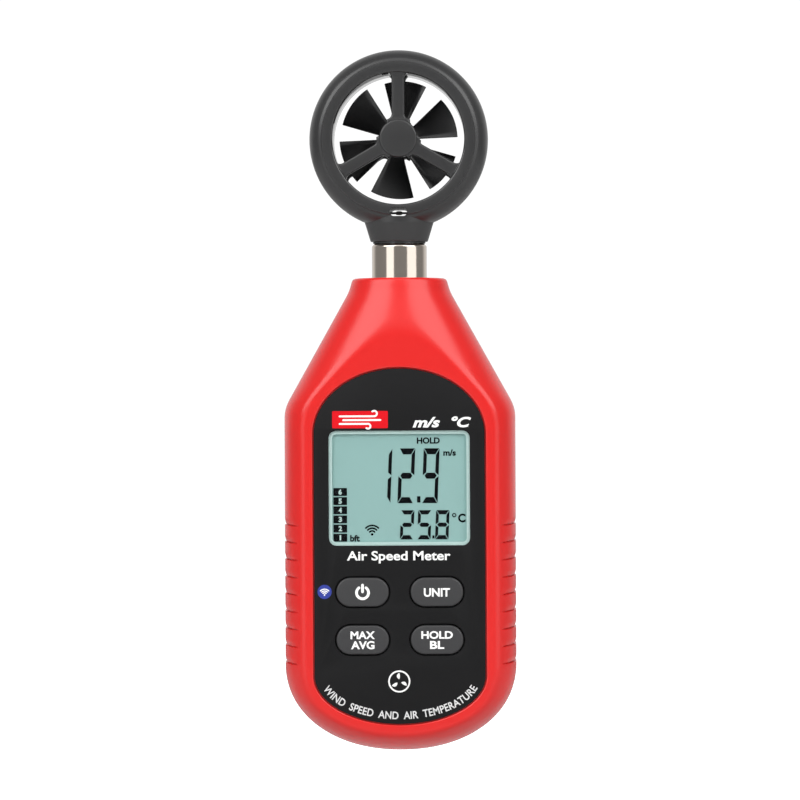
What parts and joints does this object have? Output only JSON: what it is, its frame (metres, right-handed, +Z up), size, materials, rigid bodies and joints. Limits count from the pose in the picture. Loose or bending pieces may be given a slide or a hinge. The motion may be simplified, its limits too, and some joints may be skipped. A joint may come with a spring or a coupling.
{
  "type": "handheld weather meter",
  "caption": "Handheld vane weather meter: a moulded hand grip with a display and keys, and a round wind head with an impeller on a swivelling metal neck.",
  "frame": {"origin": "on the body's long axis, in the middle of the hand grip", "axes": "+Z up through the neck to the wind head, the display faces -Y, +X to the right of someone reading it"},
  "size_m": [0.0528, 0.0282, 0.16],
  "materials": {
    "red_shell": "smooth semi-gloss moulding",
    "head_plastic": "satin dark grey moulding",
    "black_panel": "printed film, semi-gloss",
    "clear_window": "clear acrylic",
    "display": "grey-green liquid crystal",
    "backlight": "milky white moulding",
    "key_rubber": "dark grey silicone",
    "dark_rubber": "black rubber",
    "circuit_board": "green solder mask",
    "chip_black": "black epoxy",
    "steel": "plain bright steel",
    "collar_metal": "polished, warm tint",
    "brass": "plated brass",
    "battery_sleeve": "printed sleeve over a metal can",
    "tray_plastic": "black moulding",
    "blade_black": "smooth black moulding",
    "sensor_ceramic": "coated thermistor bead and leads"
  },
  "bodies": {
    "case": {"backlight_guide": "backlight", "backlight_lamp": "backlight", "battery_1": "battery_sleeve", "battery_2": "battery_sleeve", "battery_3": "battery_sleeve", "battery_spring_1": "steel", "battery_spring_2": "steel", "battery_spring_3": "steel", "battery_tray": "tray_plastic", "case_screw_1": "steel", "case_screw_2": "steel", "case_screw_3": "steel", "case_screw_4": "steel", "clock_crystal": "steel", "contact_end_lower": "brass", "contact_end_upper": "brass", "contact_link_lower": "brass", "contact_link_upper": "brass", "contact_strip_lower": "dark_rubber", "contact_strip_upper": "dark_rubber", "display_window": "clear_window", "front_case": "red_shell", "front_panel": "black_panel", "hold_light_switch": "steel", "keypad_sheet": "dark_rubber", "lcd_cell": "display", "main_board": "circuit_board", "max_avg_switch": "steel", "microcontroller": "chip_black", "neck_collar": "collar_metal", "power_switch": "steel", "rear_case": "red_shell", "sensor_cable": "dark_rubber", "sensor_socket": "backlight", "unit_switch": "steel", "voltage_regulator": "chip_black", "wireless_module": "steel"},
    "battery_cover": {"battery_cover": "red_shell"},
    "power_key": {"power_key": "key_rubber"},
    "unit_key": {"unit_key": "key_rubber"},
    "max_avg_key": {"max_avg_key": "key_rubber"},
    "hold_light_key": {"hold_light_key": "key_rubber"},
    "head": {"head_front_shell": "head_plastic", "head_rear_shell": "head_plastic", "front_bearing": "brass", "rear_bearing": "brass", "speed_sensor": "chip_black", "sensor_board": "circuit_board", "temperature_sensor": "sensor_ceramic", "swivel_washer": "dark_rubber", "swivel_tube": "steel", "swivel_clip": "steel"},
    "impeller": {"impeller": "blade_black", "impeller_shaft": "steel", "rotor_magnet": "steel"}
  },
  "joints": [
    {"name": "battery_cover_slide", "type": "slide", "parent": "case", "child": "battery_cover", "axis": [0, 0, -1], "range_m": [0, 0.06]},
    {"name": "power_key_press", "type": "slide", "parent": "case", "child": "power_key", "axis": [0, 1, 0], "range_m": [0, 0.0006], "stiffness_N_per_m": 1500, "springref_m": -0.0003},
    {"name": "unit_key_press", "type": "slide", "parent": "case", "child": "unit_key", "axis": [0, 1, 0], "range_m": [0, 0.0006], "stiffness_N_per_m": 1500, "springref_m": -0.0003},
    {"name": "max_avg_key_press", "type": "slide", "parent": "case", "child": "max_avg_key", "axis": [0, 1, 0], "range_m": [0, 0.0006], "stiffness_N_per_m": 1500, "springref_m": -0.0003},
    {"name": "hold_light_key_press", "type": "slide", "parent": "case", "child": "hold_light_key", "axis": [0, 1, 0], "range_m": [0, 0.0006], "stiffness_N_per_m": 1500, "springref_m": -0.0003},
    {"name": "head_swivel", "type": "hinge", "parent": "case", "child": "head", "pos_m": [0, 0, 0.07945], "axis": [0, 0, 1], "range_deg": [-90, 90]},
    {"name": "impeller_spin", "type": "hinge", "parent": "head", "child": "impeller", "pos_m": [0, 0, 0.10276], "axis": [0, 1, 0], "continuous": true}
  ]
}
